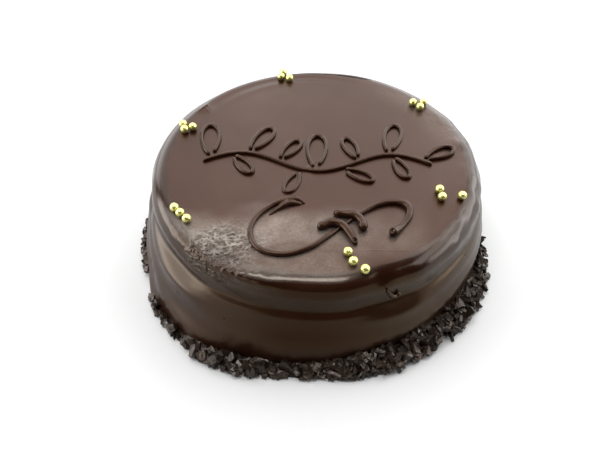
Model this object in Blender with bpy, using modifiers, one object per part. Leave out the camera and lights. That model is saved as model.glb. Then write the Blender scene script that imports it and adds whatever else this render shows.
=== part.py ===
"""Glazed chocolate torte: two cake layers under one coat of glaze, with a collar of
chocolate shards round the foot, a piped scroll with two cross strokes, a piped leafy
vine, and six groups of sugar pearls on the rim of the top.

The origin is at the middle of the underside, +Z is up, and -Y is the front."""

import math
import random

import bmesh
import bpy
from mathutils import Vector

# ---- Driving sizes, in metres ------------------------------------------------------
MM = 0.001
GAP = 0.3 * MM                  # between two pieces that touch
MERGE = 0.05 * MM               # corners closer than this are one corner

LOWER_RADIUS = 101.5 * MM       # lower layer, out to the glaze
FOOT_INSET = 1.0 * MM           # how far the glaze draws in at the very bottom
FOOT_HEIGHT = 2.0 * MM
UPPER_RADIUS = 95.0 * MM        # upper layer, out to the glaze
UPPER_SHIFT = Vector((2.7, 2.4, 0.0)) * MM   # the upper layer sits off centre
LEDGE_LOW = 29.0 * MM           # the glaze steps in between these two heights
LEDGE_HIGH = 37.5 * MM
SLOPE_LOW = 10.0 * MM           # at the front it starts lower, as a gentle slope
SLOPE_HIGH = 36.0 * MM
SLOPE_SHARE = 0.55              # how much of the step the slope takes there
SHORT_LEDGE_LOW = 33.0 * MM     # and what is left of the ledge starts higher
SOFT_FRONT = (-97, 32, 1.0)     # where that is: direction and spread in degrees, share
CURTAIN_HEIGHT = 19.0 * MM      # where the glaze hangs a little thicker
CURTAIN_SWELL = 0.5 * MM
TOP_HEIGHT = 56.5 * MM
RIM_ROUND = 10.5 * MM           # rounding from the top down into the side
WAVER = 0.5 * MM                # unevenness of the side
DENT = (-68, 10, 1.5 * MM)      # rim pushed in: direction and spread in degrees, depth
TUCK = (176, 36, 4.8 * MM)      # lower layer drawn in at the left, below the ledge
TOE = (226, 20, 5.5 * MM)       # glaze pooled at the foot, at the front left
TOE_HEIGHT = 20.0 * MM
CAKE_SEGMENTS = 72              # the collar has as many, so that the two stay clear

COLLAR_OUTER = 113.5 * MM
COLLAR_HEIGHT = 13.0 * MM
COLLAR_ROUGHNESS = 1.3 * MM     # how far its shards stand in and out
COLLAR_FULLNESS = [             # direction in degrees, share of the width and height
    (-180, 0.30, 0.50), (-163, 0.40, 0.60), (-150, 0.32, 0.45), (-139, 0.30, 0.38),
    (-125, 0.45, 0.45), (-113, 0.95, 0.52), (-103, 0.90, 0.65), (-92, 0.64, 0.85),
    (-76, 0.82, 0.95), (-64, 0.97, 1.00), (-40, 1.00, 1.00), (-24, 0.90, 1.00),
    (-10, 0.55, 0.85), (2, 0.32, 0.50), (60, 0.30, 0.42), (120, 0.38, 0.50),
    (180, 0.30, 0.50)]

LINE_RADIUS = 1.15 * MM         # the vine's piped line
SCROLL_RADIUS = 1.35 * MM       # the scroll's piped line
STROKE_RADIUS = 2.1 * MM        # the two cross strokes
LINE_STEP = 3.6 * MM            # spacing of the rings along a piped line

VINE_START = -62.0 * MM         # along X, from left to right
VINE_END = 68.0 * MM
VINE_MIDDLE = -1.0 * MM         # along Y
VINE_SWING = 7.5 * MM
VINE_WAVES = 1.5
LEAF_LENGTH = 21.0 * MM
LEAF_WIDTH = 9.5 * MM
LEAF_GAP = 1.0 * MM             # from the stem to a leaf, besides the usual gap

PEARL_RADIUS = 2.5 * MM

CHOCOLATE = (0.070, 0.042, 0.032)
DARK_CHOCOLATE = (0.022, 0.013, 0.010)
GOLD = (0.72, 0.60, 0.24)


# ---- Scene and materials -----------------------------------------------------------
def clear_scene():
    for obj in list(bpy.data.objects):
        bpy.data.objects.remove(obj)


def new_collection(name):
    collection = bpy.data.collections.new(name)
    bpy.context.scene.collection.children.link(collection)
    return collection


def new_material(name, colour, roughness, metallic):
    material = bpy.data.materials.new(name)
    material.use_nodes = True
    shader = material.node_tree.nodes["Principled BSDF"]
    shader.inputs["Base Color"].default_value = (*colour, 1.0)
    shader.inputs["Roughness"].default_value = roughness
    shader.inputs["Metallic"].default_value = metallic
    material.diffuse_color = (*colour, 1.0)
    return material


def add_object(name, data, material):
    obj = bpy.data.objects.new(name, data)
    torte.objects.link(obj)
    data.materials.clear()
    data.materials.append(material)
    return obj


def evaluated_mesh(obj):
    """The object's mesh with its modifiers or its bevel, without the object itself."""
    graph = bpy.context.evaluated_depsgraph_get()
    mesh = bpy.data.meshes.new_from_object(obj.evaluated_get(graph))
    bpy.data.objects.remove(obj)
    welder = bmesh.new()
    welder.from_mesh(mesh)
    bmesh.ops.remove_doubles(welder, verts=welder.verts, dist=MERGE)
    bmesh.ops.recalc_face_normals(welder, faces=welder.faces)
    welder.to_mesh(mesh)
    welder.free()
    return mesh


# ---- Shape of the cake's surface ---------------------------------------------------
def smooth_step(low, high, value):
    share = min(max((value - low) / (high - low), 0.0), 1.0)
    return share * share * (3.0 - 2.0 * share)


def bump(angle, place):
    """A swelling with a flat middle; place is its (direction, spread, depth)."""
    direction, spread, depth = place
    apart = (math.degrees(angle) - direction + 180.0) % 360.0 - 180.0
    return depth * math.exp(-(apart / spread) ** 4)


def upper_share(angle, height):
    """How much a place belongs to the upper layer: 0 below the ledge and 1 above it."""
    crisp = smooth_step(LEDGE_LOW, LEDGE_HIGH, height)
    soft = SLOPE_SHARE * smooth_step(SLOPE_LOW, SLOPE_HIGH, height)
    soft += (1.0 - SLOPE_SHARE) * smooth_step(SHORT_LEDGE_LOW, LEDGE_HIGH, height)
    return crisp + (soft - crisp) * bump(angle, SOFT_FRONT)


def side_radius(height):
    """Radius of the side at one height, with the crisp ledge, before it leans."""
    step = (LOWER_RADIUS - UPPER_RADIUS) * smooth_step(LEDGE_LOW, LEDGE_HIGH, height)
    foot = FOOT_INSET * (1.0 - min(height / FOOT_HEIGHT, 1.0))
    curtain = CURTAIN_SWELL * math.exp(-((height - CURTAIN_HEIGHT) / (5.0 * MM)) ** 2)
    return LOWER_RADIUS - step - foot + curtain


def rim_drop(radius):
    """How far the surface has dropped below the top, at one distance from its middle."""
    past_flat = radius - (UPPER_RADIUS - RIM_ROUND)
    if past_flat <= 0.0:
        return 0.0
    return RIM_ROUND - math.sqrt(RIM_ROUND ** 2 - past_flat ** 2)


def sideways(angle, height):
    """How far the side stands out of its true circle at one place."""
    upper = upper_share(angle, height)
    upper_shape = WAVER * (math.sin(2 * angle + 0.6) + 0.6 * math.sin(5 * angle + 0.9))
    upper_shape -= bump(angle, DENT)
    lower_shape = WAVER * (math.sin(3 * angle + 2.1) + 0.5 * math.sin(4 * angle))
    lower_shape -= bump(angle, TUCK) * smooth_step(0.0, LEDGE_LOW, height)
    lower_shape += bump(angle, TOE) * (1.0 - smooth_step(0.0, TOE_HEIGHT, height))
    slope = upper - smooth_step(LEDGE_LOW, LEDGE_HIGH, height)
    slope *= LOWER_RADIUS - UPPER_RADIUS
    return upper * upper_shape + (1.0 - upper) * lower_shape - slope


def lean(point):
    """Move one corner of the turned side to where the real, uneven side is."""
    angle = math.atan2(point.y, point.x)
    radius = math.hypot(point.x, point.y)
    outward = Vector((math.cos(angle), math.sin(angle), 0.0))
    share = smooth_step(LOWER_RADIUS * 0.5, UPPER_RADIUS - RIM_ROUND, radius)
    shift = UPPER_SHIFT * upper_share(angle, point.z)
    return point + outward * sideways(angle, point.z) * share + shift


def top_surface(x, y):
    """Height of the glaze at one place on the top."""
    return TOP_HEIGHT - rim_drop(math.hypot(x - UPPER_SHIFT.x, y - UPPER_SHIFT.y))


# ---- Cake and collar ---------------------------------------------------------------
def turned_mesh(name, profile, segments):
    """A profile of (radius, height) pairs in the XZ plane, turned about Z."""
    mesh = bpy.data.meshes.new(name)
    corners = [(radius, 0.0, height) for radius, height in profile]
    mesh.from_pydata(corners, [(i, i + 1) for i in range(len(corners) - 1)], [])
    obj = bpy.data.objects.new(name, mesh)
    torte.objects.link(obj)
    screw = obj.modifiers.new("Turn", "SCREW")
    screw.axis = "Z"
    screw.steps = screw.render_steps = segments
    screw.use_merge_vertices = True
    screw.merge_threshold = MERGE
    return evaluated_mesh(obj)


def build_cake(material):
    side_heights = [0.0, 2, 6, 10, 14, 19, 24, 29, 31.5, 33.5, 35.5, 38]
    profile = [(0.0, 0.0)]
    profile += [(side_radius(height * MM), height * MM) for height in side_heights]
    for tilt in (90, 72, 54, 38, 24, 10, 0):
        slope = math.radians(tilt)
        radius = UPPER_RADIUS - RIM_ROUND + RIM_ROUND * math.sin(slope)
        profile.append((radius, TOP_HEIGHT - RIM_ROUND + RIM_ROUND * math.cos(slope)))
    profile.append((0.0, TOP_HEIGHT))
    mesh = turned_mesh("cake_body", profile, CAKE_SEGMENTS)
    for corner in mesh.vertices:
        corner.co = lean(corner.co)
    return add_object("cake_body", mesh, material)


def collar_fullness(angle):
    """Shares of the full width and height of the collar in one direction."""
    degrees = math.degrees(angle)
    for start, end in zip(COLLAR_FULLNESS, COLLAR_FULLNESS[1:]):
        if degrees <= end[0]:
            part = (degrees - start[0]) / (end[0] - start[0])
            return [low + (high - low) * part for low, high in zip(start[1:], end[1:])]
    return COLLAR_FULLNESS[-1][1:]


def build_collar(material):
    """A ring of shards as one solid out to its uneven outline."""
    draw = random.Random(7)
    inner = LOWER_RADIUS + CURTAIN_SWELL + GAP
    width = COLLAR_OUTER - inner
    profile = [
        (inner, 0.0),
        (inner, 0.5 * COLLAR_HEIGHT),
        (inner, COLLAR_HEIGHT),
        (inner + 0.25 * width, 0.95 * COLLAR_HEIGHT),
        (inner + 0.60 * width, 0.65 * COLLAR_HEIGHT),
        (inner + 0.95 * width, 0.35 * COLLAR_HEIGHT),
        (inner + 0.85 * width, 0.0),
        (inner, 0.0),
    ]
    mesh = turned_mesh("shard_collar", profile, CAKE_SEGMENTS)
    for corner in mesh.vertices:
        angle = math.atan2(corner.co.y, corner.co.x)
        outward = Vector((math.cos(angle), math.sin(angle), 0.0))
        width_share, height_share = collar_fullness(angle)
        height = corner.co.z
        if height > 0.6 * COLLAR_HEIGHT:
            height += draw.uniform(-1.0, 1.0) * COLLAR_ROUGHNESS
        spread = corner.co.xy.length - inner
        if spread > MERGE:
            spread += draw.uniform(-1.0, 1.0) * COLLAR_ROUGHNESS
        height *= height_share
        spread = max(spread, 0.0) * width_share
        wall = LOWER_RADIUS + CURTAIN_SWELL + GAP + sideways(angle, height)
        corner.co = outward * (wall + spread)
        corner.co.z = height
    return add_object("shard_collar", mesh, material)


# ---- Piping ------------------------------------------------------------------------
def smooth_route(points, step):
    """Read an even row of points from a smooth curve through a few chosen ones.

    A point is (x, y, thickness, lift): thickness scales the line's radius and lift
    raises it off the glaze."""
    chosen = [Vector(point[:2]).to_4d() for point in points]
    for vector, point in zip(chosen, points):
        vector.z, vector.w = point[2], point[3]
    ends = [chosen[0] * 2 - chosen[1]] + chosen + [chosen[-1] * 2 - chosen[-2]]
    fine = []
    for before, start, end, after in zip(ends, ends[1:], ends[2:], ends[3:]):
        pieces = max(round((end - start).xy.length / step), 1)
        for piece in range(pieces):
            t = piece / pieces
            fine.append(0.5 * (2 * start + (end - before) * t
                               + (2 * before - 5 * start + 4 * end - after) * t ** 2
                               + (3 * start - before - 3 * end + after) * t ** 3))
    return fine + [chosen[-1]]


def rounded_ends(route, radius):
    """Add a few close points at each end, where the line's thickness rounds off."""
    def cap(end, inward):
        reach = radius * end.z
        direction = (inward - end).xy.normalized()
        tips = []
        for share in (0.06, 0.35, 0.75):
            tip = end.copy()
            tip.xy = end.xy + direction * reach * share
            tip.z = end.z * math.sqrt(1.0 - (1.0 - share) ** 2)
            tips.append(tip)
        return tips, end.xy + direction * reach * 1.4
    first, first_edge = cap(route[0], route[1])
    last, last_edge = cap(route[-1], route[-2])
    inner = [point for point in route[1:-1]
             if (point.xy - route[0].xy).length > (first_edge - route[0].xy).length
             and (point.xy - route[-1].xy).length > (last_edge - route[-1].xy).length]
    return first + inner + last[::-1]


def piped_line(name, points, radius, material, step=LINE_STEP):
    """A line of piped chocolate that lies on the glaze, with rounded ends."""
    route = rounded_ends(smooth_route(points, step), radius)
    curve = bpy.data.curves.new(name, "CURVE")
    curve.dimensions = "3D"
    curve.bevel_depth = radius
    curve.bevel_resolution = 2
    curve.use_fill_caps = True
    spline = curve.splines.new("POLY")
    spline.points.add(len(route) - 1)
    for place, (x, y, thickness, lift) in zip(spline.points, route):
        height = top_surface(x, y) + GAP + radius * thickness + lift
        place.co = (x, y, height, 1.0)
        place.radius = thickness
    return add_object(name, curve, material)


def as_mesh(line, material):
    """The same piped line as a welded mesh, which a Boolean can join to another."""
    name = line.name
    line.name = name + "_curve"
    return add_object(name, evaluated_mesh(line), material)


def in_metres(rows):
    return [(x * MM, y * MM, thickness, lift * MM) for x, y, thickness, lift in rows]


def build_scroll(material):
    """One long line from its leaf-shaped head to its curled tail, and a barb."""
    route = in_metres([
        (-3.0, -34.6, 0.35, 0.0), (-8.0, -32.6, 1.2, 0.0), (-14.0, -33.2, 1.2, 0.0),
        (-21.0, -37.2, 1.0, 0.0), (-28.0, -44.8, 1.0, 0.0), (-31.2, -54.8, 1.0, 0.0),
        (-28.3, -65.8, 1.0, 0.0), (-20.8, -71.0, 1.0, 0.0), (-11.0, -71.4, 1.0, 0.0),
        (-1.0, -67.2, 1.0, 0.0), (7.9, -59.6, 0.9, 0.0), (14.0, -53.8, 0.6, 0.0),
        (21.2, -46.5, 0.6, 0.0), (27.0, -41.4, 0.8, 0.0), (35.0, -35.6, 1.0, 0.0),
        (44.5, -32.9, 1.1, 0.0), (51.0, -35.4, 1.3, 0.0), (52.0, -41.8, 1.3, 0.0),
        (47.4, -50.6, 1.0, 0.0), (41.6, -57.0, 1.4, 0.0)])
    barb = in_metres([(-5.0, -35.1, 0.5, 0.0), (-12.0, -35.7, 1.2, 0.0),
                      (-17.5, -39.4, 0.9, 0.0), (-22.3, -44.0, 0.35, 0.0)])
    scroll = as_mesh(piped_line("piped_scroll", route, SCROLL_RADIUS, material), material)
    branch = as_mesh(piped_line("scroll_barb", barb, SCROLL_RADIUS, material), material)
    torte.objects.unlink(branch)
    cutters.objects.link(branch)
    branch.hide_render = True
    branch.display_type = "WIRE"
    join = scroll.modifiers.new("Barb", "BOOLEAN")
    join.operation = "UNION"
    join.solver = "EXACT"
    join.object = branch


def build_strokes(material):
    """Two short thick strokes, laid over the scroll where its line is pressed flat."""
    over = 2.0 * SCROLL_RADIUS * 0.6 / MM + 0.5
    front = in_metres([(4.0, -53.6, 1.1, 0.0), (10.5, -50.0, 1.0, 0.6),
                       (16.0, -51.6, 0.85, over), (20.0, -57.2, 0.95, 0.4),
                       (23.1, -64.0, 0.8, 0.0)])
    back = in_metres([(14.6, -43.6, 1.0, 0.0), (19.2, -43.8, 0.9, 0.6),
                      (23.2, -44.8, 0.9, over), (26.6, -48.8, 1.0, 0.5),
                      (27.2, -54.6, 1.15, 0.0)])
    piped_line("cross_stroke_front", front, STROKE_RADIUS, material, 2.0 * MM)
    piped_line("cross_stroke_back", back, STROKE_RADIUS, material, 2.0 * MM)


def vine_stem(share):
    """Place and direction of the vine's stem, share 0 at its left end and 1 at its right."""
    swing = VINE_WAVES * math.tau
    x = VINE_START + (VINE_END - VINE_START) * share
    y = VINE_MIDDLE + VINE_SWING * math.sin(swing * share)
    slope = VINE_SWING * swing * math.cos(swing * share) / (VINE_END - VINE_START)
    return Vector((x, y)), Vector((1.0, slope)).normalized()


def build_leaf(name, share, side, size, forward_lean, material):
    """A teardrop loop that starts beside the stem and points away from it."""
    root, along = vine_stem(share)
    across = Vector((-along.y, along.x)) * side
    axis = along * forward_lean + across * math.sqrt(1.0 - forward_lean ** 2)
    width = Vector((-axis.y, axis.x))
    base = root + axis * (2.0 * LINE_RADIUS + GAP + LEAF_GAP)
    points = []
    for turn in range(22, 339, 30):
        angle = math.radians(turn)
        forward = LEAF_LENGTH * size * 0.5 * (1.0 - math.cos(angle))
        sideways_share = math.sin(angle) * math.sin(angle / 2) ** 0.6
        place = base + axis * forward + width * LEAF_WIDTH * size * 0.5 * sideways_share
        points.append((place.x, place.y, 1.0, 0.0))
    piped_line(name, points, LINE_RADIUS, material)


def build_vine(material):
    """A wavy stem with leaves on both sides, the larger ones towards the back."""
    stem = []
    for step in range(19):
        place, _ = vine_stem(step / 18)
        stem.append((place.x, place.y, 1.0, 0.0))
    piped_line("vine_stem", stem, LINE_RADIUS, material)
    leaves = [(0.03, 1, 1.30, 0.36), (0.12, -1, 0.85, 0.40), (0.19, 1, 1.10, 0.40),
              (0.325, 1, 0.90, 0.10), (0.43, -1, 0.85, -0.05), (0.49, 1, 1.35, 0.0),
              (0.60, -1, 0.85, 0.60), (0.685, 1, 0.90, 0.12), (0.81, 1, 1.20, 0.35),
              (0.83, -1, 0.85, 0.35), (0.955, 1, 0.95, 0.55)]
    for number, (share, side, size, forward_lean) in enumerate(leaves, 1):
        build_leaf(f"vine_leaf_{number}", share, side, size, forward_lean, material)


# ---- Pearls ------------------------------------------------------------------------
PEARL_GROUPS = {
    "front": [(18.8, -70.3), (21.3, -76.5), (27.1, -81.2)],
    "right": [(69.9, -23.1), (70.7, -28.8), (81.8, -27.0)],
    "left_front": [(-72.5, -41.0), (-68.9, -44.9), (-64.8, -49.3)],
    "left_back": [(-77.8, 30.2), (-76.2, 25.1), (-71.6, 27.6)],
    "right_back": [(62.2, 55.6), (66.2, 51.2), (68.8, 55.9)],
    "back": [(-21.1, 81.7), (-15.6, 80.4), (-20.0, 86.9)],
}


def build_pearl(name, x, y, material):
    """A sugar pearl that rests on the glaze: on the rim it stands off square to the slope."""
    x, y = x * MM, y * MM
    from_middle = Vector((x - UPPER_SHIFT.x, y - UPPER_SHIFT.y, 0.0))
    past_flat = max(from_middle.length - (UPPER_RADIUS - RIM_ROUND), 0.0)
    tilt = math.asin(past_flat / (RIM_ROUND + PEARL_RADIUS))
    drop = (RIM_ROUND + PEARL_RADIUS) * (1.0 - math.cos(tilt))
    mesh = bpy.data.meshes.new(name)
    shaper = bmesh.new()
    bmesh.ops.create_uvsphere(shaper, u_segments=10, v_segments=7, radius=PEARL_RADIUS)
    shaper.to_mesh(mesh)
    shaper.free()
    pearl = add_object(name, mesh, material)
    pearl.location = (x, y, TOP_HEIGHT + PEARL_RADIUS + GAP - drop)


def build_pearls(material):
    for group, places in PEARL_GROUPS.items():
        for number, (x, y) in enumerate(places, 1):
            build_pearl(f"pearl_{group}_{number}", x, y, material)


# ---- Build -------------------------------------------------------------------------
def centre_on_origin(widest):
    """Move every piece so that the middle of the widest one is over the origin."""
    for axis in (0, 1):
        reach = [corner.co[axis] for corner in widest.data.vertices]
        for obj in list(torte.objects) + list(cutters.objects):
            obj.location[axis] -= (min(reach) + max(reach)) / 2


clear_scene()
torte = new_collection("chocolate_torte")
cutters = new_collection("cutters")
glaze = new_material("chocolate_glaze", CHOCOLATE, 0.28, 0.0)
piping = new_material("piped_chocolate", CHOCOLATE, 0.35, 0.0)
shards = new_material("chocolate_shards", DARK_CHOCOLATE, 0.6, 0.0)
gold = new_material("gold_pearls", GOLD, 0.25, 1.0)
build_cake(glaze)
collar = build_collar(shards)
build_scroll(piping)
build_strokes(piping)
build_vine(piping)
build_pearls(gold)
centre_on_origin(collar)
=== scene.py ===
# %% [markdown]
# A chocolate torte under one coat of dark glaze. It is two low layers of cake, with a
# piped scroll and a piped leafy vine on top, six groups of gold sugar pearls on the rim,
# and a collar of broken chocolate shards round the foot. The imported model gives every
# size and place, and each step below dresses one part of it as the real thing looks.

import math
import random

import bpy
import numpy as np
from mathutils import Matrix, Vector, noise


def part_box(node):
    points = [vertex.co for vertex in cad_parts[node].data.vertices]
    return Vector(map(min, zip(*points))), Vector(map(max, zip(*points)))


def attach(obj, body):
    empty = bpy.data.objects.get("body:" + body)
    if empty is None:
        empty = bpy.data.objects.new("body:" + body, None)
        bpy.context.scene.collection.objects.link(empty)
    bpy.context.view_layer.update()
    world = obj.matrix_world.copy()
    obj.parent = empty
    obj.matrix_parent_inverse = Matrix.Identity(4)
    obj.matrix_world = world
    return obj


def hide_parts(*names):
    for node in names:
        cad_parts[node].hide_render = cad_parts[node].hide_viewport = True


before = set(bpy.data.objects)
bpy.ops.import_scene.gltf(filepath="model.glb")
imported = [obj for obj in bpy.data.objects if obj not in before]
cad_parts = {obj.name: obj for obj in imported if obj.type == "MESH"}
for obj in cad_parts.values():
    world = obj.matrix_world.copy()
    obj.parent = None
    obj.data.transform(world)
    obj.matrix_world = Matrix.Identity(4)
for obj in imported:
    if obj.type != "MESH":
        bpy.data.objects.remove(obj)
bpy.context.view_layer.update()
MM = 0.001


def deselect():
    """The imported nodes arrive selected, and an operator would act on them all."""
    if bpy.context.mode != "OBJECT":
        bpy.ops.object.mode_set(mode="OBJECT")
    bpy.ops.object.select_all(action="DESELECT")


def only(piece):
    """Makes one piece the selected and active one."""
    deselect()
    piece.select_set(True)
    bpy.context.view_layer.objects.active = piece
    return piece


# %% [markdown]
# The cake was drawn round the middle of its lower layer and then moved as a whole, so
# that its widest ring is centred. One pearl says how far: its drawn place is known, and
# its box gives where it is now. The upper layer sits a little off that middle.

# %% Find the middles of the two layers
def middle_of(node):
    low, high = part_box(node)
    return (low + high) / 2


DRAWN_PEARL = Vector((18.8, -70.3)) * MM       # where the first front pearl was drawn
lower_middle = middle_of("pearl_front_1").xy - DRAWN_PEARL
upper_middle = lower_middle + Vector((2.7, 2.4)) * MM
TOP = 56.5 * MM
print("lower layer's middle in mm:", [round(c / MM, 2) for c in lower_middle])

# %% [markdown]
# A cake like this is looked at from above the table's edge, with a normal lens from
# under half a metre. The camera is placed by its distance and height angle from the
# middle of the cake's foot, and its three small turns are given as directions.

# %% Camera
CAMERA_DISTANCE = 440 * MM
CAMERA_RISE = math.radians(46.435)
forward = Vector((-0.0154, 0.6941, -0.7197)).normalized()
upward = Vector((-0.0184, 0.7194, 0.6943))
upward = (upward - forward * upward.dot(forward)).normalized()
rightward = forward.cross(upward)
bpy.ops.object.camera_add()
camera = bpy.context.object
camera.name = "table_camera"
camera.rotation_euler = Matrix((rightward, upward, -forward)).transposed().to_euler()
camera.location = (lower_middle.x, lower_middle.y - CAMERA_DISTANCE * math.cos(CAMERA_RISE),
                   CAMERA_DISTANCE * math.sin(CAMERA_RISE))
camera.data.lens = 41.94
camera.data.sensor_width = 36
bpy.context.scene.camera = camera
bpy.context.scene.view_settings.view_transform = "Standard"
print("camera stands at, in mm:", [round(c / MM) for c in camera.location])

# %% [markdown]
# Dark glaze shows almost nothing of its own: what the eye reads as its colour is the
# soft mirror image of the room. One big lamp would fill the whole top evenly, so the
# light is built from many soft panels instead. Three rows behind the cake lie in the
# mirror image of the flat top, a strip overhead draws the bright line on the rim, wide
# panels at both sides streak the walls, and the viewer's side is left dark, which makes
# the deep brown bands below the rim and the ledge.

# %% Floor and lights
def simple_material(name, colour, roughness):
    material = bpy.data.materials.new(name)
    material.use_nodes = True
    shader = material.node_tree.nodes["Principled BSDF"]
    shader.inputs["Base Color"].default_value = (*colour, 1)
    shader.inputs["Roughness"].default_value = roughness
    return material


deselect()
bpy.ops.mesh.primitive_plane_add(size=12, location=(0, 0, -0.1 * MM))
floor = bpy.context.object
floor.name = "pale_floor"
floor.data.materials.append(simple_material("pale_floor", (0.40, 0.40, 0.40), 0.9))


def light_panel(name, direction, rise, width, height, radiance, slide=0.0):
    """A soft panel that faces the cake from PANEL_DISTANCE; direction is its compass
    angle from +X, and slide moves it along its own width."""
    turn, lift = math.radians(direction), math.radians(rise)
    facing = Vector((math.cos(turn) * math.cos(lift), math.sin(turn) * math.cos(lift),
                     math.sin(lift)))
    sideways = Vector((-math.sin(turn), math.cos(turn), 0))
    place = facing * PANEL_DISTANCE + sideways * slide
    bpy.ops.object.light_add(type="AREA", location=place)
    panel = bpy.context.object
    panel.name = name
    panel.data.shape = "RECTANGLE"
    panel.data.size, panel.data.size_y = width, height
    panel.data.energy = radiance * math.pi * width * height
    panel.rotation_euler = Matrix(
        (sideways, facing.cross(sideways), facing)).transposed().to_euler()


PANEL_DISTANCE = 1.2
PANELS = [("back_low_left", 120, 12, 1.16, 0.5, 3.6), ("back_low_right", 60, 12, 0.9, 0.5, 3.6),
          ("back_left", 120, 32, 0.95, 0.33, 2.3), ("back", 84, 32, 0.6, 0.33, 3.7),
          ("back_right", 48, 32, 0.95, 0.33, 4.4), ("high_left", 125, 48, 0.8, 0.33, 2.45),
          ("high_back", 84, 48, 0.6, 0.33, 3.95), ("high_right", 43, 48, 0.8, 0.33, 2.5),
          ("ceiling", 84, 67, 1.6, 0.50, 4.4), ("overhead_strip", 270, 83, 0.85, 0.25, 16, -0.13),
          ("left_low", 180, 12, 1.1, 0.5, 8.5), ("left_high", 180, 38, 1.0, 0.5, 5.8),
          ("front_left", 225, 12, 0.8, 0.5, 1.8), ("right_low", 12, 12, 1.2, 0.5, 6.0),
          ("right_high", 0, 38, 1.0, 0.5, 5.2)]
for panel in PANELS:
    light_panel(*panel)
world = bpy.data.worlds.new("dim_room")
world.use_nodes = True
world.node_tree.nodes["Background"].inputs["Color"].default_value = (1, 1, 1, 1)
world.node_tree.nodes["Background"].inputs["Strength"].default_value = 0.06
bpy.context.scene.world = world

# %% [markdown]
# Chocolate is never one even tone. A cloudy grain comes up in every finish below, so
# it is a shader group built once and placed with its own scale each time. Air pits, the
# pinholes that bubbles leave in poured chocolate, are a second group. The short helpers
# after them keep the long sums of each finish readable.

# %% Shader groups
def new_group(name, inputs, outputs):
    group = bpy.data.node_groups.new(name, "ShaderNodeTree")
    for label, kind, value in inputs:
        socket = group.interface.new_socket(label, in_out="INPUT", socket_type=kind)
        if value is not None:
            socket.default_value = value
    for label, kind in outputs:
        group.interface.new_socket(label, in_out="OUTPUT", socket_type=kind)
    return group, group.nodes.new("NodeGroupInput"), group.nodes.new("NodeGroupOutput")


def add_node(tree, kind, **settings):
    """A new node of one kind, with its properties set by name."""
    node = tree.nodes.new(kind)
    for label, value in settings.items():
        setattr(node, label, value)
    return node


def math_node(tree, operation, first, second=None, clamp=False):
    """One sum; each side is a number or another node's output."""
    node = add_node(tree, "ShaderNodeMath", operation=operation, use_clamp=clamp)
    for socket, value in zip(node.inputs, (first, second)):
        if value is None:
            continue
        if isinstance(value, (int, float)):
            socket.default_value = value
        else:
            tree.links.new(value, socket)
    return node.outputs[0]


def ramp(tree, value, low, high, to_low=0.0, to_high=1.0):
    """Smooth change from to_low to to_high as value goes from low to high."""
    node = add_node(tree, "ShaderNodeMapRange", interpolation_type="SMOOTHSTEP")
    tree.links.new(value, node.inputs["Value"])
    for label, number in (("From Min", low), ("From Max", high),
                          ("To Min", to_low), ("To Max", to_high)):
        node.inputs[label].default_value = number
    return node.outputs["Result"]


FLOAT, VECTOR = "NodeSocketFloat", "NodeSocketVector"
grain_group, g_in, g_out = new_group(
    "fine_grain", [("Place", VECTOR, None), ("Scale", FLOAT, 400), ("Detail", FLOAT, 3)],
    [("Value", FLOAT)])
cloud = add_node(grain_group, "ShaderNodeTexNoise")
for label in ("Scale", "Detail"):
    grain_group.links.new(g_in.outputs[label], cloud.inputs[label])
grain_group.links.new(g_in.outputs["Place"], cloud.inputs["Vector"])
grain_group.links.new(cloud.outputs["Fac"], g_out.inputs["Value"])

pit_group, p_in, p_out = new_group(
    "air_pits", [("Place", VECTOR, None), ("Scale", FLOAT, 120), ("Share", FLOAT, 0.2),
                 ("Width", FLOAT, 0.1)], [("Mask", FLOAT)])
cells = add_node(pit_group, "ShaderNodeTexVoronoi")
pit_group.links.new(p_in.outputs["Place"], cells.inputs["Vector"])
pit_group.links.new(p_in.outputs["Scale"], cells.inputs["Scale"])
cell_tone = add_node(pit_group, "ShaderNodeSeparateColor")
pit_group.links.new(cells.outputs["Color"], cell_tone.inputs["Color"])
chosen = math_node(pit_group, "LESS_THAN", cell_tone.outputs["Red"], p_in.outputs["Share"])
near = math_node(pit_group, "DIVIDE", cells.outputs["Distance"], p_in.outputs["Width"])
near = math_node(pit_group, "SUBTRACT", 1.0, near, clamp=True)
pit_group.links.new(math_node(pit_group, "MULTIPLY", near, chosen), p_out.inputs["Mask"])


def place_group(tree, group, place, **values):
    node = tree.nodes.new("ShaderNodeGroup")
    node.node_tree = group
    tree.links.new(place, node.inputs["Place"])
    for label, value in values.items():
        node.inputs[label].default_value = value
    return node.outputs[0]


def new_finish(name, roughness=None, **sockets):
    """A material, its tree, its shader and its Object coordinates."""
    material = bpy.data.materials.new(name)
    material.use_nodes = True
    tree = material.node_tree
    shader = tree.nodes["Principled BSDF"]
    for label, value in sockets.items():
        shader.inputs[label.replace("_", " ")].default_value = value
    place = tree.nodes.new("ShaderNodeTexCoord").outputs["Object"]
    return material, tree, shader, place


def mix_colours(tree, share, low, high):
    node = add_node(tree, "ShaderNodeMix", data_type="RGBA")
    tree.links.new(share, node.inputs["Factor"])
    for socket, colour in ((node.inputs[6], low), (node.inputs[7], high)):
        if isinstance(colour, tuple):
            socket.default_value = (*colour, 1)
        else:
            tree.links.new(colour, socket)
    return node.outputs[2]


def add_bump(tree, shader, height, distance, before=None):
    node = add_node(tree, "ShaderNodeBump")
    node.inputs["Distance"].default_value = distance
    tree.links.new(height, node.inputs["Height"])
    if before is not None:
        tree.links.new(before, node.inputs["Normal"])
    tree.links.new(node.outputs["Normal"], shader.inputs["Normal"])
    return node.outputs["Normal"]


print("groups:", [g.name for g in bpy.data.node_groups])

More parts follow.
